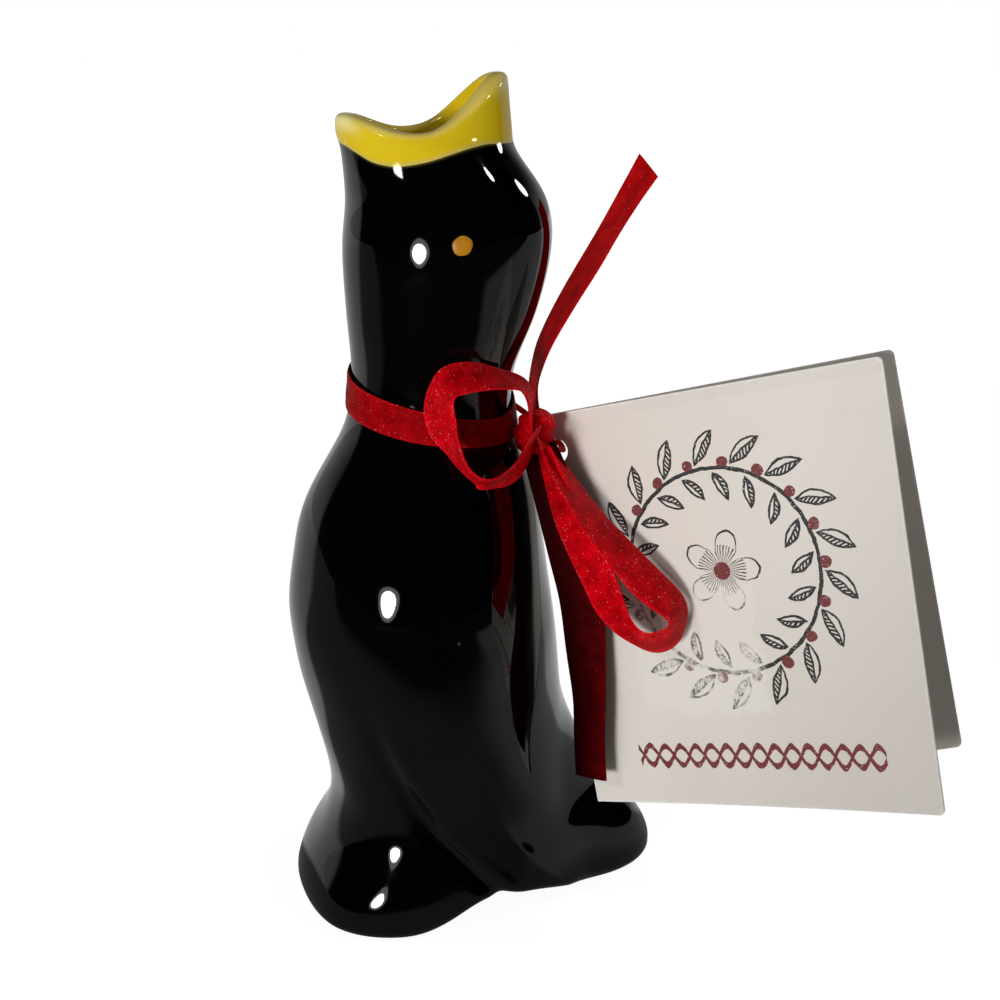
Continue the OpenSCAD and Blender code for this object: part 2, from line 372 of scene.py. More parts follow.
# faces between rings of count points, the last ring joined to the first if closed
def ringFaces(rings, count, closed=True):
    faces = []
    for i in range(rings if closed else rings - 1):
        low = i * count
        high = (i + 1) % rings * count
        for j in range(count):
            k = (j + 1) % count
            faces.append((low + j, low + k, high + k, high + j))
    return faces


# an open row of rings with a face on each end
def tubeFaces(rings, count):
    last = (rings - 1) * count
    faces = ringFaces(rings, count, False)
    faces.append(tuple(range(count)))
    faces.append(tuple(range(last, last + count)))
    return faces


bird = {
    "height": 114.0,
    "footLength": 53.5,
    "footWidth": 36.0,
    "waist": 38.3,
    "belly": 37.0,
    "neck": 21.7,
    "head": 27.4,  # front to back
    "headWidth": 24.8,
    "mouthLength": 22.7,
    "mouthWidth": 18.0,
    "wall": 3.0,
    "footRound": 1.5,
    "footSteps": 6,
    "tailTurn": 50,  # degrees from the back, as all turns on the bird
    "tailPower": 3.7,
    "breastFrom": 98,
    "breastTo": 152,
    "breastPower": 1.9,
    "saddleAt": -0.26,  # the mouth's lowest point, by the cosine of its turn
    "rimPower": 2.2,
    "columns": 240,
    "rows": 180,
    "rowsInside": 60,
    "tableStep": 0.25,
    "tableSpare": 8,
    "softenUp": 40,  # smoothing passes along the height
    "softenBeak": 10,
    "softenRound": 5,  # and around
    "inset": 0.05,  # kept within the solid
}
height = bird["height"]
waistX = -2.5
bellyX = -7.8
neckX = -6.1
headX = -3.55
mouthX = -6.35
bellyZ = 0.37 * height
neckZ = 0.635 * height
headZ = 0.815 * height
saddleZ = 0.939 * height
frontTipZ = 0.958 * height
glazeZ = 0.917 * height


def birdStations():
    foot = bird["footLength"] / 2
    broad = bird["footWidth"] / 2
    waist = bird["waist"] / 2
    belly = bird["belly"] / 2
    neck = bird["neck"] / 2
    head = bird["head"] / 2
    side = bird["headWidth"] / 2
    long = bird["mouthLength"] / 2
    wide = bird["mouthWidth"] / 2
    return np.array([  # height, centre, half length, half width
        (0, -0.4, foot, broad),
        (0.03 * height, 0.1, foot - 0.3, broad - 0.3),
        (0.08 * height, 0, foot - 3.6, broad - 1.4),
        (0.118 * height, waistX + 0.75, waist + 0.8, broad - 1.9),
        (0.15 * height, waistX, waist, broad - 2),
        (0.24 * height, -5.6, belly - 0.4, belly - 1.3),
        (bellyZ, bellyX, belly, belly),
        (0.45 * height, bellyX - 0.12, belly * 0.938, belly * 0.92),
        (0.515 * height, bellyX + 0.2, belly * 0.85, belly * 0.744),
        (neckZ - 4, neckX - 0.3, neck + 0.7, neck + 0.7),
        (neckZ, neckX, neck, neck),
        (neckZ + 4, neckX + 0.4, neck, neck),
        (0.74 * height, -4.35, head - 1.05, side - 0.8),
        (headZ, headX, head, side),
        (0.865 * height, headX - 0.1, head - 0.7, side - 0.8),
        (0.92 * height, mouthX + 0.4, long - 0.2, wide + 0.6),
        (saddleZ, mouthX, long, wide - 0.5),
        (height, mouthX, long - 0.6, wide - 1),
    ])


stations = birdStations()


def slopeAt(i):
    before = stations[max(i - 1, 0)]
    after = stations[min(i + 1, len(stations) - 1)]
    return (after - before) / (after[0] - before[0])


slopes = np.array([slopeAt(i) for i in range(len(stations))])


# smooth run through the stations
def atHeight(z):
    z = min(max(z, 0.0), height)
    i = int(np.clip(np.searchsorted(stations[:, 0], z, "right") - 1, 0, len(stations) - 2))
    p, q = stations[i], stations[i + 1]
    h = q[0] - p[0]
    t = (z - p[0]) / h
    return (
        p * (2 * t ** 3 - 3 * t ** 2 + 1) + slopes[i] * h * (t ** 3 - 2 * t ** 2 + t)
        + q * (3 * t ** 2 - 2 * t ** 3) + slopes[i + 1] * h * (t ** 3 - t ** 2)
    )


def soften(values, passes, axis, ring):
    for _ in range(passes):
        if ring:
            before = np.roll(values, 1, axis)
            after = np.roll(values, -1, axis)
        else:
            pad = [(1, 1) if k == axis else (0, 0) for k in range(values.ndim)]
            wide = np.pad(values, pad, mode="edge")
            size = values.shape[axis]
            before = wide.take(range(size), axis)
            after = wide.take(range(2, size + 2), axis)
        values = (before + 2 * values + after) / 4
    return values


angles = np.radians(np.arange(bird["columns"]) * 360.0 / bird["columns"] - 180)
degreesOff = np.abs(np.degrees(angles))
tableZ = np.arange(-bird["tableSpare"], height + bird["tableSpare"], bird["tableStep"])


# from 0 up to 1, and from 1 down to 0, over part of the turn
def rise(low, high):
    return np.sin(np.radians(90 * np.clip((degreesOff - low) / (high - low), 0, 1)))


def fall(low, high):
    return np.cos(np.radians(90 * np.clip((degreesOff - low) / (high - low), 0, 1)))


# 1 on the tail and breast lobes of the foot, 0 between them
def lobes():
    tail = fall(0, bird["tailTurn"]) ** bird["tailPower"]
    breast = rise(bird["breastFrom"], bird["breastTo"]) ** bird["breastPower"]
    return np.where(degreesOff < bird["breastFrom"], tail, breast)


# creases between breast and flank, and beside the tail: a negative one is a ridge
creases = [
    {"from": 38.0, "full": 24.0, "turn": 125.0, "sweep": 32.0, "fall": 8.0, "wide": 5.0, "deep": 0.7},
    {"from": 34.0, "full": 20.0, "turn": 115.0, "sweep": 32.0, "fall": 8.0, "wide": 4.5, "deep": -0.18},
    {"from": 22.0, "full": 14.0, "turn": 84.0, "sweep": 22.0, "fall": 6.5, "wide": 3.8, "deep": -0.1},
]
# swellings of the toe and the side of the head, and the brow that rounds in under the glaze line
swells = [
    {"turn": 136.0, "wide": 22.0, "z": 5.6, "tall": 5.0, "lift": 0.74},
    {"turn": 119.0, "wide": 30.0, "z": 104.4, "tall": 2.4, "lift": -0.45},
    {"turn": 57.0, "wide": 22.0, "z": 102.0, "tall": 4.0, "lift": 0.25},
]
# long shallow waves of a cast surface, weaker on the head
waves = [
    {"size": 0.09, "count": 3, "climb": 0.16, "start": 1.0},
    {"size": 0.07, "count": 5, "climb": -0.23, "start": 2.1},
    {"size": 0.05, "count": 8, "climb": 0.31, "start": 0.4},
    {"size": 0.03, "count": 11, "climb": -0.45, "start": 3.0},
]


def bell(offset, wide):
    return np.exp(-((offset / wide) ** 2))


def drapery():
    depth = np.zeros((len(tableZ), len(angles)))
    for c in creases:
        line = c["turn"] - c["sweep"] * np.exp(-np.maximum(tableZ - 6, -3) / c["fall"])
        share = np.clip((c["from"] - tableZ) / (c["from"] - c["full"]), 0, 1)
        share = share * share * (3 - 2 * share)
        depth += c["deep"] * share[:, None] * bell(degreesOff[None, :] - line[:, None], c["wide"])
    for s in swells:
        up = bell(tableZ - s["z"], s["tall"])
        depth -= s["lift"] * up[:, None] * bell(degreesOff - s["turn"], s["wide"])[None, :]
    return depth


def castWaves():
    depth = np.zeros((len(tableZ), len(angles)))
    for w in waves:
        phase = w["count"] * angles[None, :] + w["climb"] * tableZ[:, None] + w["start"]
        depth += w["size"] * np.sin(phase)
    share = 0.2 + 0.8 * np.clip((62 - tableZ) / 20, 0, 1)
    return depth * share[:, None]


def reachTable():
    q = np.array([atHeight(z) for z in tableZ])
    long, wide = q[:, 2:3], q[:, 3:4]
    below = wide + (long - wide) * lobes()[None, :]
    pinch = 2 - 0.8 * np.clip((tableZ - headZ) / (saddleZ - headZ), 0, 1)
    above = long - (long - wide) * np.abs(np.sin(angles))[None, :] ** pinch[:, None]
    reach = np.where(tableZ[:, None] < bellyZ, below, above)
    crisp = soften(reach, bird["softenBeak"], 0, False)
    share = np.clip((tableZ - 100) / 3, 0, 1)[:, None]  # the beak stays crisper
    reach = soften(reach, bird["softenUp"], 0, False) * (1 - share) + crisp * share
    reach = soften(reach, bird["softenRound"], 1, True) - drapery() - castWaves() - bird["inset"]
    return reach, soften(q[:, 1], bird["softenUp"], 0, False)


reachAll, centreAll = reachTable()


# points on the casting: z per column, inset from the outside
def skin(z, inset=0.0):
    step = (z - tableZ[0]) / bird["tableStep"]
    i = np.clip(step.astype(int), 0, len(tableZ) - 2)
    t = step - i
    column = np.arange(len(angles))
    r = reachAll[i, column] * (1 - t) + reachAll[i + 1, column] * t - inset
    x = centreAll[i] * (1 - t) + centreAll[i + 1] * t
    return np.stack([x + r * np.cos(angles), r * np.sin(angles), z], 1)


arch = {"height": 4.7, "from": 8, "top": 86, "to": 125, "risePower": 2.1, "soften": 4, "least": 0.02}


def archLine():
    up = rise(arch["from"], arch["top"]) ** arch["risePower"]
    down = fall(arch["top"], arch["to"]) ** 2
    line = arch["height"] * np.where(degreesOff < arch["top"], up, down)
    line = soften(line, arch["soften"], 0, True)
    line[line < arch["least"]] = 0
    return line


# low beside the mouth's corner, high at both ends
glazeLine = {
    "turns": (0, 20, 48, 65, 82, 97, 113, 125, 140, 150, 165, 180),
    "lifts": (0.9, 1.0, 1.2, 0.8, 0.1, -0.6, -1.1, -1.3, -0.9, -0.1, 0.9, 1.2),
    "soften": 12,
}


# the mouth's rim rises from its lowest point to a tip at each end
def rimLine():
    low = bird["saddleAt"]
    facing = np.cos(angles)
    back = np.maximum(0, (facing - low) / (1 - low)) ** bird["rimPower"]
    front = np.maximum(0, (low - facing) / (1 + low)) ** bird["rimPower"]
    return saddleZ + (height - saddleZ) * back + (frontTipZ - saddleZ) * front


archEdge = archLine()
glazeEdge = glazeZ + np.interp(degreesOff, glazeLine["turns"], glazeLine["lifts"])
glazeEdge = soften(glazeEdge, glazeLine["soften"], 0, True)
rimEdge = rimLine()

glazeDepth = 0.0001  # of the bump
blackLook = {
    "glaze": {"Ripple": 0.25, "Peel": 0.05, "Pinholes": 0.6, "Smooth": 0.035, "Smeared": 0.07},
    "deep": (0.0004, 0.0005, 0.0005, 1),
    "pale": (0.0012, 0.0012, 0.0014, 1),
    "line": (0.12, 0.1, 0.02, 1),  # where the yellow runs into it
    "speck": (0.08, 0.08, 0.08, 1),
    "bisque": (0.72, 0.68, 0.6, 1),  # unglazed inside
    "bisquePale": (0.8, 0.77, 0.71, 1),
}
yellowLook = {
    "glaze": {"Ripple": 0.3, "Peel": 0.06, "Pinholes": 0.4, "Smooth": 0.06, "Smeared": 0.13},
    "deep": (0.66, 0.43, 0.002, 1),
    "pale": (0.78, 0.58, 0.02, 1),
    # on the tips this pale colour is thin glaze and also a painted highlight
    "thin": (0.96, 0.87, 0.42, 1),  # on the rim and tips
    "line": (0.5, 0.47, 0.2, 1),
    "gloss": (1.0, 0.9, 0.5, 1),
}
eyeLook = {
    "glaze": {
        "Ripple Scale": 500.0,
        "Ripple": 0.4,
        "Peel": 0.1,
        "Pinholes": 0.0,
        "Smooth": 0.32,
        "Smeared": 0.5,
    },
    "deep": (0.36, 0.13, 0.001, 1),
    "pale": (0.58, 0.26, 0.006, 1),
}


def blackGlaze():
    material, tree, shader = newMaterial("blackGlaze")
    glaze = useGroup(tree, firedGlaze, blackLook["glaze"])
    bare = fade(tree, attribute(tree, "inside"), 0.35, 0.65)
    line = fade(tree, attribute(tree, "lineGap"), 0.0, 0.35, 1.0, 0.0)
    black = mixColor(tree, fade(tree, glaze["Cloud"], 0.4, 0.8), blackLook["deep"], blackLook["pale"])
    black = mixColor(tree, times(tree, line, 0.55), black, blackLook["line"])
    black = mixColor(tree, glaze["Pinhole"], black, blackLook["speck"])
    bisque = mixColor(tree, glaze["Cloud"], blackLook["bisque"], blackLook["bisquePale"])
    plug(tree, shader, {
        "Base Color": mixColor(tree, bare, black, bisque),
        "Roughness": timesPlus(tree, bare, 0.55, glaze["Roughness"]),
        "Normal": bumpFrom(tree, glaze["Height"], 0.25, glazeDepth),
        "IOR": 1.46,
    })
    return material


def yellowGlaze():
    material, tree, shader = newMaterial("yellowGlaze")
    glaze = useGroup(tree, firedGlaze, yellowLook["glaze"])
    rim = attribute(tree, "rimGap")
    thin = fade(tree, rim, 0.05, 0.9, 1.0, 0.0)
    thin = times(tree, thin, fade(tree, glaze["Cloud"], 0.2, 0.7, 0.12, 0.32))
    far = gapTo(tree, split(tree, objectPlace(tree))["X"], mouthX * mm)
    # the tips: paler thin glaze and a painted highlight
    tips = times(tree, fade(tree, far, 0.0075, 0.0108), fade(tree, rim, 0.3, 2.6, 0.9, 0.0))
    line = fade(tree, attribute(tree, "lineGap"), 0.0, 0.6, 1.0, 0.0)
    body = mixColor(tree, glaze["Cloud"], yellowLook["deep"], yellowLook["pale"])
    body = mixColor(tree, most(tree, thin, tips), body, yellowLook["thin"])
    body = mixColor(tree, times(tree, line, 0.5), body, yellowLook["line"])
    plug(tree, shader, {
        "Base Color": body,
        "Roughness": glaze["Roughness"],
        "Normal": bumpFrom(tree, glaze["Height"], 0.25, glazeDepth),
        "IOR": 1.4,
        "Specular Tint": yellowLook["gloss"],
    })
    return material


def eyeEnamel():
    material, tree, shader = newMaterial("eyeEnamel")
    glaze = useGroup(tree, firedGlaze, eyeLook["glaze"])
    blotch = noise(tree, objectPlace(tree), 700.0)
    plug(tree, shader, {
        "Base Color": mixColor(tree, blotch, eyeLook["deep"], eyeLook["pale"]),
        "Roughness": glaze["Roughness"],
        "Normal": bumpFrom(tree, glaze["Height"], 0.3, glazeDepth),
        "IOR": 1.4,
    })
    return material


blackFinish = blackGlaze()
yellowFinish = yellowGlaze()
eyeFinish = eyeEnamel()


def buildBody():
    bend = bird["footRound"]
    low = archEdge + bend
    rings = []
    inside = []
    for k in range(bird["footSteps"] + 1):  # rounded lower edge
        share = k / bird["footSteps"]
        lean = math.radians(90 * share)
        rings.append(skin(archEdge + bend * (1 - math.cos(lean)), bend * (1 - math.sin(lean))))
        inside.append(0.25 * (1 - share))
    for k in range(1, bird["rows"] + 1):
        rings.append(skin(low + (glazeEdge - low) * k / bird["rows"]))
        inside.append(0)
    for k in range(bird["rowsInside"], -1, -1):
        share = k / bird["rowsInside"]
        rings.append(skin(archEdge + (glazeEdge - archEdge) * share, bird["wall"]))
        inside.append(1.0)
    points = np.concatenate(rings)
    layers = {
        "inside": np.repeat(inside, len(angles)),
        "lineGap": np.tile(glazeEdge, len(rings)) - points[:, 2],
    }
    faces = ringFaces(len(rings), len(angles))
    makePiece("birdBody", points, faces, "bird", blackFinish, "bird_body", layers, crease=45)


beak = {"rows": 24, "lip": 0.87, "lipSteps": 12, "lipPower": 0.7}  # lip as a share of the wall


def buildBeak():
    wall = bird["wall"]
    lip = wall * beak["lip"]
    top = rimEdge - lip / 2
    rows = beak["rows"]
    rings = [skin(glazeEdge + (top - glazeEdge) * k / rows) for k in range(rows + 1)]
    for k in range(1, beak["lipSteps"]):
        lean = math.radians(180 * k / beak["lipSteps"])
        up = math.sin(lean) ** beak["lipPower"]
        out = math.copysign(abs(math.cos(lean)) ** beak["lipPower"], math.cos(lean))
        rings.append(skin(top + lip / 2 * up, lip / 2 * (1 - out)))
    for k in range(rows, -1, -1):
        inset = lip + (wall - lip) * (1 - k / rows)
        rings.append(skin(glazeEdge + (top - glazeEdge) * k / rows, inset))
    points = np.concatenate(rings)
    layers = {
        "rimGap": np.tile(rimEdge, len(rings)) - points[:, 2],
        "lineGap": points[:, 2] - np.tile(glazeEdge, len(rings)),
    }
    faces = ringFaces(len(rings), len(angles))
    makePiece("beakGlaze", points, faces, "bird", yellowFinish, "beak", layers, crease=60)


eye = {
    "z": 0.826 * height,
    "x": 0.2,  # behind the head's middle
    "across": 2.6,
    "proud": 0.3,
    "sunk": 0.25,
    "bed": 0.02,
    "rings": 10,
    "steps": 40,
    "wobble": 0.04,
}


def onHead(x, z):
    ring = skin(np.full(len(angles), z))
    half = ring[(ring[:, 1] > 0)][::-1]
    return float(np.interp(x, half[:, 0], half[:, 1]))


def buildEye(side, name, node):
    points = []
    count = eye["steps"]
    middle = atHeight(eye["z"])[1] + eye["x"]
    for k in range(eye["rings"] + 1):
        share = k / eye["rings"]
        lift = eye["proud"] * math.sqrt(max(0.0, 1 - share ** 3)) - eye["bed"]
        for j in range(count):
            turn = 2 * math.pi * j / count
            edge = 1 + eye["wobble"] * (math.sin(2 * turn + 0.6) + 0.6 * math.sin(5 * turn))
            r = eye["across"] / 2 * max(share, 0.02) * edge
            x = middle + r * math.cos(turn)
            z = eye["z"] + r * math.sin(turn)
            points.append((x, side * (onHead(x, z) + lift), z))
    for x, _, z in points[-count:]:
        points.append((x, side * (onHead(x, z) - eye["sunk"]), z))
    faces = tubeFaces(eye["rings"] + 2, count)
    makePiece(name, points, faces, "bird", eyeFinish, node, crease=60)


buildBody()
buildBeak()
buildEye(-1, "eyeLeft", "eye_left")
buildEye(1, "eyeRight", "eye_right")
print("bird built")

ribbonLooks = {
    "brightRibbon": {
        "ground": (0.86, 0.0005, 0.008, 1),
        "deep": (0.22, 0.0, 0.001, 1),
        "spark": (1.0, 0.38, 0.36, 1),
        "amount": 0.27,
    },
    # painted shade: a darker copy of the ribbon for the tail that hangs in the bird's shade, its lean
    # darkening one edge more
    "shadedTailRibbon": {
        "ground": (0.1, 0.0002, 0.001, 1),
        "deep": (0.006, 0.0, 0.0001, 1),
        "spark": (0.6, 0.1, 0.1, 1),
        "amount": 0.02,
        "lean": 0.95,
    },
    "plainRibbon": {
        "ground": (0.75, 0.0004, 0.003, 1),
        "deep": (0.3, 0.0, 0.001, 1),
        "spark": (1.0, 0.4, 0.36, 1),
        "amount": 0.04,
    },
    # painted shade: a darker copy of the same ribbon for the band round the neck
    "shadedBandRibbon": {
        "ground": (0.45, 0.0004, 0.003, 1),
        "deep": (0.15, 0.0, 0.001, 1),
        "spark": (1.0, 0.34, 0.3, 1),
        "amount": 0.16,
    },
}


# lean paints more shade on the ribbon, darker towards one edge
def ribbonFinish(name, ground, deep, spark, amount, lean=0.0):
    material, tree, shader = newMaterial(name)
    values = {"Ground": ground, "Deep": deep, "Spark": spark, "Amount": amount}
    cloth = useGroup(tree, glitterRibbon, values)
    color = cloth["Color"]
    if lean:
        across = split(tree, weaveMap(tree))["X"]
        color = mixColor(tree, fade(tree, across, 0.1, 0.9, lean, 0.0), color, deep)
    plug(tree, shader, {
        "Base Color": color,
        "Roughness": cloth["Roughness"],
        "Normal": bumpFrom(tree, cloth["Height"], 0.4, 0.00006),
        "Specular IOR Level": 0.12,
        "Specular Tint": (1.0, 0.12, 0.14, 1),
    })
    return material


ribbonFinishes = {name: ribbonFinish(name, **look) for name, look in ribbonLooks.items()}

ribbon = {
    "width": 6.0,
    "thickness": 0.3,
    "camber": 0.12,
    "edgeFrom": 0.93,  # share of the half width where the edge starts to thin
    "edgeThin": 0.35,
    "cutLength": 5.0,  # a slanted cut starts this far from the end
    "across": 10,
    "perSpan": 10,
    "soften": 14,
}
# centre counted from the middle of the neck, then the direction across
leftRoute = [
    ((12.4, -9, -2.4), (0.2, 0.9, -0.4)),
    ((11.6, -10.5, 2), (0.35, 0.95, -0.05)),
    ((9, -12.5, 4.8), (0.05, 1, 0)),
    ((6, -14.5, 6), (0.15, 0.95, 0.2)),
    ((3, -15.5, 6.3), (0.05, 0.9, 0.4)),
    ((0.2, -16, 5.6), (-0.15, 0.9, 0.4)),
    ((-0.9, -16.3, 3), (-0.5, 0.85, -0.1)),
    ((-0.5, -17, 0.2), (-0.5, 0.8, -0.3)),
    ((0.6, -18, -2), (-0.25, 0.95, -0.25)),
    ((1.8, -19.2, -4.3), (-0.05, 0.95, -0.35)),
    ((3.3, -20, -5.7), (0.1, 0.9, -0.45)),
    ((5, -19.8, -6.1), (0.1, 0.9, -0.45)),
    ((7.8, -17.5, -5.7), (0.25, 0.85, -0.4)),
    ((10.2, -14, -5.1), (0.3, 0.85, -0.45)),
    ((12.5, -9.8, -4.2), (0.25, 0.9, -0.4)),
]
rightRoute = [
    ((13.8, -8.6, -4.4), (0.35, 0.95, -0.15)),
    ((16.2, -12.8, -9), (0.5, 0.85, 0)),
    ((18.9, -16.6, -13.2), (0.55, 0.8, 0.1)),
    ((21.6, -19.9, -16.3), (0.55, 0.8, 0.25)),
    ((24.5, -22.9, -19.5), (0.5, 0.75, 0.4)),
    ((27.4, -24.4, -21.9), (0.6, 0.8, 0.2)),
    ((28.2, -24.8, -23.7), (0.65, 0.75, -0.15)),
    ((27.3, -25.2, -25.9), (0.45, 0.6, -0.7)),
    ((24.9, -24.8, -27), (0.3, 0.6, -0.75)),
    ((22.4, -23.3, -26), (-0.05, 0.8, -0.6)),
    ((20.6, -20.5, -23.6), (-0.4, 0.8, -0.45)),
    ((19.5, -17.5, -20.9), (-0.5, 0.75, -0.35)),
    ((17.9, -15.2, -17.4), (-0.55, 0.8, -0.25)),
    ((16, -12.8, -13), (-0.45, 0.85, -0.2)),
    ((13.6, -9.6, -5.2), (-0.1, 0.9, -0.4)),
]
upRoute = [
    ((13.4, -5.6, -2.2), (0, -1, 0.25)),
    ((13.2, -4, 1.3), (0, -1, 0.2)),
    ((14, -3, 4.4), (0.05, -1, 0.1)),
    ((15.3, -2.2, 7.6), (0.15, -1, 0.1)),
    ((18.1, -1.2, 12.2), (0.25, -0.95, 0.1)),
    ((21.5, 0.4, 16.9), (0.2, -0.95, -0.05)),
    ((25, 2.1, 21.9), (0.2, -1, -0.05)),
    ((30.3, 4.3, 29.4), (0.05, -0.85, -0.45)),
]
downRoute = [
    ((13.2, -7, -5.2), (0.6, -0.7, 0.3)),
    ((15.2, -9.7, -11.7), (0.85, -0.45, 0.25)),
    ((16.9, -12.2, -19.4), (0.9, -0.4, 0.2)),
    ((18.2, -13.6, -25.4), (0.9, -0.45, 0.1)),
    ((18.6, -14.9, -32.1), (0.75, -0.6, 0.2)),
    ((18.9, -16.3, -38.9), (0.55, -0.8, 0.3)),
    ((18.9, -16.8, -44.5), (0.5, -0.8, 0.35)),
    ((19.1, -17.6, -49.8), (0.5, -0.8, 0.3)),
]


def fromNeck(p):
    return Vector((neckX + p[0], p[1], neckZ + p[2]))


# smooth run through listed points, a few steps in each span
def through(points, steps):
    run = []
    last = len(points) - 1
    for i in range(last):
        a, b, c, d = points[max(i - 1, 0)], points[i], points[i + 1], points[min(i + 2, last)]
        for k in range(steps):
            t = k / steps
            square = (2 * a - 5 * b + 4 * c - d) * t ** 2
            cube = (3 * b - a - 3 * c + d) * t ** 3
            run.append(0.5 * (2 * b + (c - a) * t + square + cube))
    run.append(points[last])
    return run


def relax(run, passes):
    for _ in range(passes):
        middle = [(run[i - 1] + 2 * run[i] + run[i + 1]) / 4 for i in range(1, len(run) - 1)]
        run = [run[0]] + middle + [run[-1]]
    return run


def courseOf(run, i):
    return (run[min(i + 1, len(run) - 1)] - run[max(i - 1, 0)]).normalized()


# half the thickness at s, from -1 at one edge to 1 at the other
def halfThickness(s):
    full = max(0.0, 1 - max(0.0, abs(s) - ribbon["edgeFrom"]) / (1 - ribbon["edgeFrom"]))
    return ribbon["thickness"] / 2 * (ribbon["edgeThin"] + (1 - ribbon["edgeThin"]) * math.sqrt(full))


def ribbonRings(run, sides, slant):
    half = ribbon["width"] / 2
    count = ribbon["across"]
    points = []
    uvs = []
    length = 0.0
    whole = sum((b - a).length for a, b in zip(run, run[1:]))
    for i, p in enumerate(run):
        length += (p - run[i - 1]).length if i else 0.0
        course = courseOf(run, i)
        side = (sides[i] - course * sides[i].dot(course)).normalized()
        up = course.cross(side).normalized()
        cut = slant * max(0.0, 1 - (whole - length) / ribbon["cutLength"])
        for face in (1, -1):
            for k in range(count + 1):
                s = (2 * k / count - 1) * face
                lift = ribbon["camber"] * (1 - s * s) + face * halfThickness(s)
                points.append(p + side * half * s + up * lift - course * cut * s)
                uvs.append((0.5 + s / 2, length / ribbon["width"]))
    return points, uvs, length


def buildRibbon(name, route, node, finish, slant=0.0):
    run = relax(through([fromNeck(c) for c, _ in route], ribbon["perSpan"]), ribbon["soften"])
    sides = relax(through([Vector(w) for _, w in route], ribbon["perSpan"]), ribbon["soften"])
    points, uvs, length = ribbonRings(run, sides, slant)
    faces = tubeFaces(len(run), 2 * (ribbon["across"] + 1))
    material = ribbonFinishes[finish]
    piece = makePiece(name, points, faces, "ribbon", material, node, uvs=uvs, crease=50)
    print(name, "length", round(length, 1), "mm")


buildRibbon("loopLeft", leftRoute, "loop_left", "brightRibbon")
buildRibbon("loopRight", rightRoute, "loop_right", "brightRibbon")
buildRibbon("tailUp", upRoute, "tail_up", "plainRibbon", slant=1.4)
# the hanging tail takes the ribbon with painted shade
buildRibbon("tailDown", downRoute, "tail_down", "shadedTailRibbon", slant=0.3)

neckBand = {
    "gap": 0.15,
    "steps": 216,
    "rows": 12,
    "ripple": 0.14,
    "middle": -0.3,  # from the middle of the neck
    "backDrop": 2.2,
    "farLift": 1.4,
    "hump": 1.4,
    "humpTurn": 25,  # degrees from the back
    "breastDrop": 0.5,
    "half": 0.46,  # shares of the ribbon's width
    "gather": 0.18,
    "gatherTurn": -45,
    "breastNarrow": 0.07,
    "radius": 11.5,
}


# high on the breast, lower and gathered by the knot
def bandMiddle(turn):
    hump = neckBand["hump"] * max(0.0, math.cos(turn - math.radians(neckBand["humpTurn"]))) ** 4
    breast = neckBand["breastDrop"] * max(0.0, -math.cos(turn)) ** 2
    slope = neckBand["farLift"] * math.sin(turn) - neckBand["backDrop"] * math.cos(turn)
    return neckZ + neckBand["middle"] + slope + hump - breast


def bandHalf(turn):
    gather = ((1 + math.cos(turn - math.radians(neckBand["gatherTurn"]))) / 2) ** 1.5
    narrow = neckBand["breastNarrow"] * max(0.0, -math.cos(turn)) ** 2
    return ribbon["width"] * (neckBand["half"] - neckBand["gather"] * gather - narrow)


# how far out the neck comes near this turn
def roomAt(turn, z):
    q = atHeight(z)
    shift = q[1] - neckX
    near = max(shift * math.cos(turn + math.radians(a)) for a in (-30, -15, 0, 15, 30))
    return near + max(q[2], q[3])


def buildNeckBand():
    points = []
    uvs = []
    rows = neckBand["rows"]
    for j in range(neckBand["steps"]):
        turn = 2 * math.pi * j / neckBand["steps"]
        for face in (1, -1):
            for k in range(rows + 1):
                s = (2 * k / rows - 1) * face
                z = bandMiddle(turn) + s * bandHalf(turn)
                clear = roomAt(turn, z) + neckBand["gap"] + ribbon["thickness"] / 2
                ripple = 0.5 + 0.5 * math.sin(5 * s + 3 * turn) * math.sin(4 * turn + 1)
                r = clear + face * halfThickness(s) + neckBand["ripple"] * ripple * (1 - s * s)
                points.append((neckX + r * math.cos(turn), r * math.sin(turn), z))
                uvs.append((0.5 + s / 2, turn * neckBand["radius"] / ribbon["width"]))
    faces = ringFaces(neckBand["steps"], 2 * (rows + 1))
    material = ribbonFinishes["shadedBandRibbon"]
    makePiece("neckBand", points, faces, "ribbon", material, "neck_band", uvs=uvs, crease=50)


knot = {
    "at": (12.8, -7.6, -3.4),  # counted from the neck
    "across": 5.6,
    "half": 3.1,
    "lean": 25,
    "turn": -31,
    "steps": 96,
    "rows": 40,
    "pleats": 0.22,
    "fullness": 0.7,
}


def turned(degrees, axis):
    return Matrix.Rotation(math.radians(degrees), 4, axis)


def buildKnot():
    points = []
    uvs = []
    spin = turned(knot["turn"], "Z") @ turned(knot["lean"], "Y")
    centre = fromNeck(knot["at"])
    for i in range(knot["rows"] + 1):
        lean = math.radians(180 * i / knot["rows"] - 90)
        level = math.sin(lean)
        taper = max(0.02, math.cos(lean)) ** knot["fullness"]
        for j in range(knot["steps"]):
            turn = 2 * math.pi * j / knot["steps"]
            pleat = math.sin(9 * level + 1.3 * math.sin(turn + 0.5) + 0.5 * math.sin(3 * turn))
            r = (knot["across"] / 2 - knot["pleats"] + knot["pleats"] * pleat) * taper
            p = Vector((r * math.cos(turn), r * math.sin(turn), knot["half"] * level))
            points.append(centre + spin @ p)
            uvs.append((0.5 + level / 2, turn * knot["across"] / 2 / ribbon["width"]))
    faces = tubeFaces(knot["rows"] + 1, knot["steps"])
    material = ribbonFinishes["brightRibbon"]
    makePiece("bowKnot", points, faces, "ribbon", material, "bow_knot", uvs=uvs)


buildNeckBand()
buildKnot()
print("ribbon built")

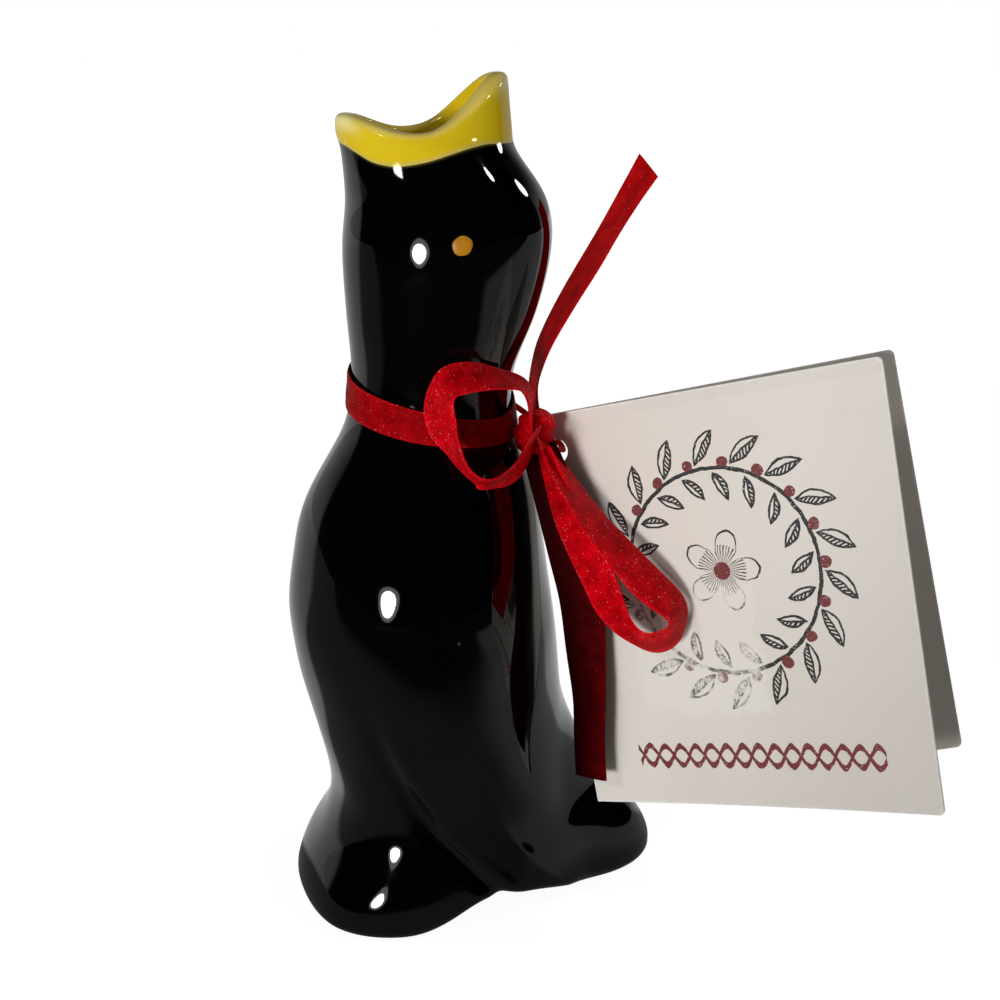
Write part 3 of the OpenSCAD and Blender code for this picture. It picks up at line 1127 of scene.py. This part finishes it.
tag = {
    "corner": (13, -0.5, -3.6),  # counted from the neck
    "yaw": -42,
    "lift": 17,
    "lean": -6,
    "width": 49.5,
    "tall": 54.0,
    "card": 0.4,
    "holeU": 4.2,
    "holeV": 5.0,
    "hole": 3.2,
    "holeSteps": 40,
    "cornerRound": 0.8,
    "grid": 1.5,
    "edgeRoom": 0.7,  # no grid point nearer to the free edges
    "holeRoom": 0.5,
    "bevel": 0.06,
    "bevelDepth": 0.22,  # share of the card
    "rollWide": 1.5,
    "mapSize": 50.0,
}
# start is where a leaf begins, near and far are its faces, open is its turn on the fold
frontLeaf = {
    "start": 0.0,
    "near": -tag["card"],
    "far": 0.0,
    "open": 0,
    "roll": 0.06,
    "lift": 2.2,
    "twist": 4.9,
    "paper": (0.76, 0.71, 0.65, 1),
    "stain": (0.66, 0.59, 0.5, 1),
}
backLeaf = {
    "start": 0.55,
    "near": 0.1,
    "far": 0.1 + tag["card"],
    "open": 28,
    "roll": 0.0,
    "lift": 0.9,
    "twist": 1.4,
    # painted shade: the back leaf's paper and stain are darker than the front's, though both leaves are
    # one card
    "paper": (0.7, 0.64, 0.57, 1),
    "stain": (0.58, 0.51, 0.43, 1),
}
onTag = Matrix.Translation(fromNeck(tag["corner"]))
onTag = onTag @ turned(tag["yaw"], "Z") @ turned(-tag["lift"], "Y") @ turned(tag["lean"], "X")


def holeGap(u, v):
    return math.hypot(u - tag["holeU"], v - tag["holeV"]) - tag["hole"] / 2


def leafOutline(start):
    wide, tall, r = tag["width"], tag["tall"], tag["cornerRound"]
    outline = []

    def edge(ax, ay, bx, by):
        steps = max(1, round(math.hypot(bx - ax, by - ay) / tag["grid"]))
        for k in range(steps):
            outline.append((ax + (bx - ax) * k / steps, ay + (by - ay) * k / steps))

    def corner(middle, first):
        for degrees in range(first, first + 90, 15):
            a = math.radians(degrees)
            outline.append((wide - r + r * math.cos(a), middle + r * math.sin(a)))

    edge(start, 0, wide - r, 0)
    corner(r, -90)
    edge(wide, r, wide, tall - r)
    corner(tall - r, 0)
    edge(wide - r, tall, start, tall)
    edge(start, tall, start, 0)
    return outline


# flat leaf with its hole, as triangles
def leafPlan(start):
    grid = tag["grid"]
    outline = leafOutline(start)
    ring = []
    for k in range(tag["holeSteps"]):
        turn = 2 * math.pi * k / tag["holeSteps"]
        u = tag["holeU"] + tag["hole"] / 2 * math.cos(turn)
        ring.append((u, tag["holeV"] + tag["hole"] / 2 * math.sin(turn)))
    inner = []
    for i in range(1, int((tag["width"] - start) / grid)):
        for j in range(1, int(tag["tall"] / grid)):
            u = start + i * grid
            v = j * grid
            onCard = u < tag["width"] - tag["edgeRoom"] and v < tag["tall"] - tag["edgeRoom"]
            if onCard and holeGap(u, v) > tag["holeRoom"]:
                inner.append((u, v))
    n, m = len(outline), len(ring)
    borders = [(i, (i + 1) % n) for i in range(n)] + [(n + i, n + (i + 1) % m) for i in range(m)]
    flat = [Vector(p) for p in outline + ring + inner]
    verts, _, triangles, _, _, _ = geometry.delaunay_2d_cdt(flat, borders, [], 1, 1e-6)
    kept = []
    for t in triangles:
        u = sum(verts[i].x for i in t) / 3
        v = sum(verts[i].y for i in t) / 3
        if holeGap(u, v) > -0.01 * tag["hole"] / 2:
            kept.append(tuple(t))
    return [tuple(v) for v in verts], kept


# distance from the nearest cut edge, hole included
def edgeGap(u, v, start):
    gaps = [tag["width"] - u, v, tag["tall"] - v, holeGap(u, v)]
    if start > 0:
        gaps.append(u - start)
    return min(gaps)


# a used card: twisted towards its free edge, rolled back along the fold
def bendOf(leaf, u, v):
    roll = leaf["roll"] * max(0.0, 1 - u / tag["rollWide"])
    return roll + (u / tag["width"]) ** 2 * (leaf["lift"] - leaf["twist"] * v / tag["tall"])


# edges with a triangle on one side only, and the way out at each of their points
def leafBorder(plan, triangles):
    edges = {}
    for t in triangles:
        for a, b in ((t[0], t[1]), (t[1], t[2]), (t[2], t[0])):
            edges[(a, b)] = True
    border = [(a, b) for a, b in edges if (b, a) not in edges]
    out = {}
    for a, b in border:
        du = plan[b][0] - plan[a][0]
        dv = plan[b][1] - plan[a][1]
        size = math.hypot(du, dv)
        for k in (a, b):
            o = out.setdefault(k, [0.0, 0.0])
            o[0] += dv / size
            o[1] -= du / size
    return border, out


def buildLeaf(name, body, leaf, material, node):
    plan, triangles = leafPlan(leaf["start"])
    border, out = leafBorder(plan, triangles)
    place = onTag @ turned(leaf["open"], "Z")
    near, far = leaf["near"], leaf["far"]
    count = len(plan)
    points = []
    gaps = []
    sheet = []
    outer = []

    # the bevel draws a border point in
    def addPoint(i, depth, bevel, gap, onOuter):
        u, v = plan[i]
        pu, pv = u, v
        if bevel:
            size = math.hypot(*out[i]) or 1.0
            pu -= out[i][0] / size * bevel
            pv -= out[i][1] / size * bevel
        points.append(place @ Vector((pu, depth + bendOf(leaf, u, v), -pv)))
        gaps.append(gap)
        sheet.append((u / tag["mapSize"], v / tag["mapSize"]))
        outer.append(onOuter)

    for depth in (near, far):
        onOuter = 1.0 if depth == near else 0.0
        for i, (u, v) in enumerate(plan):
            if i in out:
                addPoint(i, depth, tag["bevel"], 0.0, onOuter)
            else:
                addPoint(i, depth, 0.0, edgeGap(u, v, leaf["start"]), onOuter)
    middle = {}
    inset = (far - near) * tag["bevelDepth"]
    depths = (near + inset, far - inset)
    for depth in depths:
        for i in out:
            middle[(i, depth)] = len(points)
            addPoint(i, depth, 0.0, 0.0, 0.0)
    faces = triangles + [tuple(i + count for i in reversed(t)) for t in triangles]
    for a, b in border:
        sides = [(middle[(a, depth)], middle[(b, depth)]) for depth in depths]
        chain = [(a, b)] + sides + [(a + count, b + count)]
        for (p, q), (r, s) in zip(chain, chain[1:]):
            faces.append((q, p, r, s))
    layers = {"edgeGap": gaps, "outerFace": outer}
    makePiece(name, points, faces, body, material, node, layers, uvs=sheet, crease=30)


printed = {
    "wreathAt": (25.5, 23.5),  # millimetres across and down the leaf
    "wreath": 13.2,
    "leaves": 18,
    "outerRow": {"offset": 0.0, "tilt": 36, "out": 2.7, "long": 2.7, "wide": 1.05},
    "innerRow": {"offset": 0.5, "tilt": -34, "out": -2.3, "long": 2.1, "wide": 0.8},
    "stem": 0.26,
    "flower": 5.4,
    "petals": 5,
    "veins": 46.0,
    "seeds": 1.15,
    "berry": 0.72,
    "berryOut": 0.75,
    "rule": 47.6,
    "ruleFrom": 8.5,
    "ruleTo": 43.5,
    "ruleThick": 0.42,
    "swing": 1.3,
    "wave": 4.6,
    "line": 0.3,
    "rib": 0.13,
    "shake": 0.5,
}


def stepFrom(tree, turns, offset):
    return minus(tree, calc(tree, "FRACT", plus(tree, turns, offset)), 0.5)


# one row of slanted leaves on the wreath: outline, rib and hatching on one half
def leafRow(tree, turns, radius, row):
    middle = printed["wreath"] + row["out"]
    lean = math.radians(row["tilt"])
    s = times(tree, stepFrom(tree, turns, row["offset"]), 2 * math.pi * middle / printed["leaves"])
    t = minus(tree, radius, middle)
    along = timesPlus(tree, s, math.sin(lean), times(tree, t, math.cos(lean)))
    across = timesPlus(tree, s, math.cos(lean), times(tree, t, -math.sin(lean)))
    away = sizeOf(tree, across)
    share = calc(tree, "POWER", sizeOf(tree, calc(tree, "DIVIDE", along, row["long"])), 2.0)
    body = minus(tree, timesPlus(tree, share, -row["wide"], row["wide"]), away)
    comb = calc(tree, "SINE", timesPlus(tree, along, 11.0, times(tree, away, 9.0)))
    hatch = times(tree, over(tree, comb, -0.35), over(tree, across))
    ink = most(tree, under(tree, body, printed["line"]), under(tree, away, printed["rib"]), hatch)
    return times(tree, ink, over(tree, body))


# outlined petals with veins round the middle
def flowerMask(tree, angle, radius):
    petal = sizeOf(tree, calc(tree, "COSINE", times(tree, angle, printed["petals"] / 2)))
    petal = times(tree, calc(tree, "POWER", petal, 0.55), printed["flower"])
    petal = minus(tree, petal, radius)
    veins = over(tree, sineOf(tree, angle, printed["veins"]), 0.45)
    veins = times(tree, veins, under(tree, radius, printed["flower"] * 0.62))
    return times(tree, most(tree, under(tree, petal, printed["line"]), veins), over(tree, petal))


def vectorCalc(tree, operation, values):
    return addNode(tree, "ShaderNodeVectorMath", values, operation=operation).outputs[0]


# black wreath round a flower, red berries, red twisted rule: drawn with a slightly shaky line
def printMasks(tree):
    uv = weaveMap(tree)
    values = {"Vector": uv, "Scale": 34.0, "Detail": 2.0}
    shake = addNode(tree, "ShaderNodeTexNoise", values).outputs["Color"]
    shake = vectorCalc(tree, "SCALE", {0: shake, "Scale": printed["shake"]})
    flat = vectorCalc(tree, "SCALE", {0: uv, "Scale": tag["mapSize"]})
    parts = split(tree, vectorCalc(tree, "ADD", {0: flat, 1: shake}))
    u, v = parts["X"], parts["Y"]
    x = minus(tree, u, printed["wreathAt"][0])
    y = minus(tree, v, printed["wreathAt"][1])
    radius = distance(tree, x, y)
    angle = calc(tree, "ARCTAN2", y, x)
    turns = times(tree, angle, printed["leaves"] / (2 * math.pi))
    outer = leafRow(tree, turns, radius, printed["outerRow"])
    inner = leafRow(tree, turns, radius, printed["innerRow"])
    stem = under(tree, gapTo(tree, radius, printed["wreath"]), printed["stem"])
    seeds = under(tree, radius, printed["seeds"])
    flower = minus(tree, flowerMask(tree, angle, radius), seeds)
    black = most(tree, outer, inner, stem, flower)
    pitch = 2 * math.pi * printed["wreath"] / printed["leaves"]
    arc = times(tree, stepFrom(tree, turns, 0.5), pitch)
    out = minus(tree, radius, printed["wreath"] + printed["berryOut"])
    berries = under(tree, distance(tree, arc, out), printed["berry"])
    swing = times(tree, sineOf(tree, u, 2 * math.pi / printed["wave"]), printed["swing"])
    drop = minus(tree, v, printed["rule"])
    first = under(tree, gapTo(tree, drop, swing), printed["ruleThick"])
    second = under(tree, sizeOf(tree, plus(tree, drop, swing)), printed["ruleThick"])
    length = times(tree, over(tree, u, printed["ruleFrom"]), under(tree, u, printed["ruleTo"]))
    rule = times(tree, most(tree, first, second), length)
    red = most(tree, berries, seeds, rule)
    black = times(tree, black, minus(tree, 1.0, red))
    return u, v, black, red


wear = {
    "tornAt": (20.0, 33.5),  # where tape was lifted off, in millimetres on the leaf
    "tornHalf": (9.5, 8.5),
    "tapeTall": 1.9,
    "tapeFrom": 17.0,
    # how dark the painted shade makes the paper at its right and bottom edges
    "paintedShade": 0.62,
    "torn": (0.8, 0.77, 0.71, 1),
    "black": (0.012, 0.011, 0.011, 1),
    "red": (0.17, 0.016, 0.018, 1),
}


# print, torn patch and tape on the outer face: the inner face is bare
def printedFace(tree, card, color):
    u, v, black, red = printMasks(tree)
    outer = fade(tree, attribute(tree, "outerFace"), 0.4, 0.6)
    place = objectPlace(tree)
    ragged = timesPlus(tree, noise(tree, place, 260.0, 4.0, 0.7), 0.7, -0.35)
    byU = calc(tree, "DIVIDE", gapTo(tree, u, wear["tornAt"][0]), wear["tornHalf"][0])
    byV = calc(tree, "DIVIDE", gapTo(tree, v, wear["tornAt"][1]), wear["tornHalf"][1])
    torn = fade(tree, plus(tree, most(tree, byU, byV), ragged), 0.92, 1.0, 1.0, 0.0)
    torn = times(tree, torn, outer)
    tape = fade(tree, plus(tree, v, ragged), wear["tapeTall"], wear["tapeTall"] + 0.1, 1.0, 0.0)
    tape = times(tree, tape, fade(tree, u, wear["tapeFrom"], wear["tapeFrom"] + 0.4))
    tape = times(tree, tape, outer)
    speck = fade(tree, noise(tree, place, 3400.0, 3.0, 0.7), 0.6, 0.68, 1.0, 0.35)
    lost = fade(tree, noise(tree, place, 520.0, 4.0, 0.75), 0.4, 0.6, 0.15, 0.9)
    lost = most(tree, times(tree, torn, lost), card["Rub"])
    keep = times(tree, times(tree, speck, outer), minus(tree, 1.0, lost))
    color = mixColor(tree, times(tree, torn, 0.4), color, wear["torn"])
    color = mixColor(tree, times(tree, black, keep), color, wear["black"])
    color = mixColor(tree, times(tree, red, keep), color, wear["red"])
    coat = most(tree, times(tree, tape, 0.7), times(tree, torn, 0.12))
    height = plus(tree, card["Height"], times(tree, plus(tree, torn, tape), 0.8))
    return color, height, coat


def cardFinish(name, leaf, inked):
    material, tree, shader = newMaterial(name)
    values = {"Paper": leaf["paper"], "Stain": leaf["stain"], "Edge": attribute(tree, "edgeGap")}
    card = useGroup(tree, cardStock, values)
    # painted shade: the paper darkens towards the leaf's right and bottom edges
    ends = split(tree, weaveMap(tree))
    shadeRamp = fade(tree, timesPlus(tree, ends["X"], 1.3, ends["Y"]), 1.0, 2.4, 0.0, 0.66)
    paintedShade = tuple(c * wear["paintedShade"] for c in leaf["paper"][:3]) + (1,)
    color = mixColor(tree, shadeRamp, card["Color"], paintedShade)
    height = card["Height"]
    coat = 0.0
    if inked:
        color, height, coat = printedFace(tree, card, color)
    plug(tree, shader, {
        "Base Color": color,
        "Roughness": fade(tree, card["Rub"], 0.0, 1.0, 0.55, 0.8),
        "Normal": bumpFrom(tree, height, 0.25, 0.00004),
        "Coat Weight": coat,
        "Coat Roughness": 0.12,
    })
    return material


frontCard = cardFinish("frontCard", frontLeaf, True)
shadedBackCard = cardFinish("shadedBackCard", backLeaf, False)
buildLeaf("tagFront", "front_leaf", frontLeaf, frontCard, "tag_front")
buildLeaf("tagBack", "back_leaf", backLeaf, shadedBackCard, "tag_back")

strand = {"across": 0.9, "room": 0.05, "fold": 0.14, "steps": 20, "perSpan": 12}


def buildStrand():
    holeEdge = tag["holeU"] - tag["hole"] / 2 + strand["across"] / 2 + strand["room"]
    route = [  # across the tag, down it, away from the bow
        (-5, -3.4, 2.4),
        (-2.5, -0.5, 4),
        (0.2, 3, 4.9),
        (holeEdge - 0.7, tag["holeV"], 4),
        (holeEdge - 0.2, tag["holeV"], 1.6),
        (holeEdge, tag["holeV"] - 0.1, -0.2),
        (holeEdge - 0.1, tag["holeV"] - 0.8, -1.8),
        (4.4, 2.2, -4.2),
    ]
    run = through([onTag @ Vector((u, n, -v)) for u, v, n in route], strand["perSpan"])
    points = []
    uvs = []
    length = 0.0
    for i, p in enumerate(run):
        length += (p - run[i - 1]).length if i else 0.0
        course = courseOf(run, i)
        side = course.cross(Vector((0, 0, 1))).normalized()
        up = side.cross(course)
        for k in range(strand["steps"]):
            turn = 2 * math.pi * k / strand["steps"]
            fold = 1 - strand["fold"] + strand["fold"] * math.cos(3 * turn + 0.6 * length)
            r = strand["across"] / 2 * fold
            points.append(p + (side * math.cos(turn) + up * math.sin(turn)) * r)
            uvs.append((k / strand["steps"], length / ribbon["width"]))
    faces = tubeFaces(len(run), strand["steps"])
    material = ribbonFinishes["plainRibbon"]
    makePiece("tagStrand", points, faces, "ribbon", material, "tag_strand", uvs=uvs)


buildStrand()
print("tag built")

studio = {
    "floorSize": 6.0,
    "floorDrop": 0.0002,
    "sheetFrom": -0.085,  # the white sheet fades out in front of the bird
    "sheetTo": -0.035,
    "sheetRight": 0.12,  # and comes this much nearer on the right
    "table": 0.05,
    "floorGlow": 0.93,
    "floorFar": 0.25,
    "floorPaint": 0.2,
    "world": 0.12,
    "worldBack": 0.4,
    "room": 0.02,
    "mirrorFront": 0.14,  # share of the sheet's light that the glaze mirrors
    "mirrorRight": 2.6,
    "mirrorBack": 0.45,
}
lamps = {
    "keyLamp": {"place": (-0.2, -0.311, 0.07), "aimZ": 0.06, "size": 0.08, "power": 0.8},
    "keyHalo": {"place": (-0.201, -0.317, 0.072), "aimZ": 0.06, "size": 0.115, "power": 0.07},
    "browLamp": {"place": (-0.349, -0.293, 0.337), "aimZ": 0.1, "size": 0.06, "tall": 0.055, "power": 0.3},
    "sideLamp": {"place": (0.36, -0.17, 0.41), "aimZ": 0.1, "size": 0.05, "power": 0.32},
    "rearLamp": {"place": (0.44, 0.15, 0.295), "aimZ": 0.1, "size": 0.075, "power": 0.25},
}
white = (1, 1, 1, 1)


def lightPath(tree):
    return addNode(tree, "ShaderNodeLightPath").outputs


def straightLook(tree):
    path = lightPath(tree)
    return most(tree, path["Is Camera Ray"], path["Is Transmission Ray"])


# white where it is looked at straight or through a gap, dimmer in the glaze
def mirrorShare(tree, share):
    glossy = lightPath(tree)["Is Glossy Ray"]
    return most(tree, straightLook(tree), times(tree, glossy, share))


# 1 in a wedge behind the bird, 0 to its sides and in front
def behind(tree, parts):
    across = most(tree, sizeOf(tree, parts["X"]), 0.02)
    return fade(tree, calc(tree, "DIVIDE", parts["Y"], across), 0.33, 0.47)


def paintOf(tree, color):
    return addNode(tree, "ShaderNodeBsdfDiffuse", {"Color": color}).outputs[0]


def mixShader(tree, factor, first, second):
    return addNode(tree, "ShaderNodeMixShader", {0: factor, 1: first, 2: second}).outputs[0]


def floorFinish():
    material = bpy.data.materials.new("paleFloor")
    material.use_nodes = True
    tree = material.node_tree
    tree.nodes.clear()
    parts = split(tree, addNode(tree, "ShaderNodeNewGeometry").outputs["Position"])
    front = plus(tree, parts["Y"], fade(tree, parts["X"], 0.03, 0.15, 0.0, studio["sheetRight"]))
    sheet = fade(tree, front, studio["sheetFrom"], studio["sheetTo"], studio["table"], 1.0)
    sheet = most(tree, sheet, straightLook(tree))
    far = fade(tree, parts["Y"], 0.1, 1.0, 0.0, studio["floorFar"])
    right = fade(tree, parts["X"], 0.02, 0.05, 1.0, studio["mirrorRight"])
    near = times(tree, right, studio["mirrorFront"])
    share = mirrorShare(tree, timesPlus(tree, behind(tree, parts), studio["mirrorBack"], near))
    level = times(tree, sheet, plus(tree, far, studio["floorGlow"]))
    glow = addNode(tree, "ShaderNodeEmission", {"Color": white, "Strength": level}).outputs[0]
    tone = times(tree, sheet, studio["floorPaint"])
    paint = paintOf(tree, mixColor(tree, tone, (0, 0, 0, 1), white))
    both = addNode(tree, "ShaderNodeAddShader", {0: glow, 1: paint}).outputs[0]
    plain = paintOf(tree, (0.5, 0.5, 0.5, 1))
    dark = paintOf(tree, (0.01, 0.01, 0.01, 1))
    other = mixShader(tree, lightPath(tree)["Is Glossy Ray"], plain, dark)
    surface = mixShader(tree, share, other, both)
    addNode(tree, "ShaderNodeOutputMaterial", {"Surface": surface})
    return material


def buildFloor():
    half = studio["floorSize"] / 2
    corners = [(-half, -half, 0), (half, -half, 0), (half, half, 0), (-half, half, 0)]
    mesh = bpy.data.meshes.new("floor")
    mesh.from_pydata(corners, [], [(0, 1, 2, 3)])
    mesh.materials.append(floorFinish())
    obj = bpy.data.objects.new("floor", mesh)
    obj.location.z = -studio["floorDrop"]
    scene.collection.objects.link(obj)


# white backdrop behind the bird, dim room in front of it
def buildWorld():
    world = bpy.data.worlds.new("studioRoom")
    world.use_nodes = True
    scene.world = world
    tree = world.node_tree
    ways = split(tree, addNode(tree, "ShaderNodeTexCoord").outputs["Generated"])
    view = most(tree, fade(tree, ways["Y"], 0.0, 0.3, studio["room"], 1.0), straightLook(tree))
    low = fade(tree, ways["Z"], 0.1, 0.4, studio["mirrorBack"], 0.02)  # the backdrop ends above the bird
    wedge = plus(tree, behind(tree, ways), 0.02)
    seen = times(tree, mirrorShare(tree, times(tree, low, wedge)), view)
    back = fade(tree, ways["Y"], 0.1, 0.7, studio["world"], studio["worldBack"])
    soft = times(tree, lightPath(tree)["Is Diffuse Ray"], back)
    plug(tree, tree.nodes["Background"], {"Color": white, "Strength": plus(tree, seen, soft)})


def addLamp(name, lamp):
    data = bpy.data.lights.new(name, "AREA")
    data.shape = "RECTANGLE" if "tall" in lamp else "DISK"
    data.size = lamp["size"]
    if "tall" in lamp:
        data.size_y = lamp["tall"]
    data.energy = lamp["power"]
    obj = bpy.data.objects.new(name, data)
    obj.location = lamp["place"]
    aim = Vector((0, 0, lamp["aimZ"])) - Vector(lamp["place"])
    obj.rotation_euler = aim.to_track_quat("-Z", "Y").to_euler()
    scene.collection.objects.link(obj)


buildFloor()
buildWorld()
for lampName in lamps:
    addLamp(lampName, lamps[lampName])
scene.view_settings.view_transform = "Standard"
print("studio built")
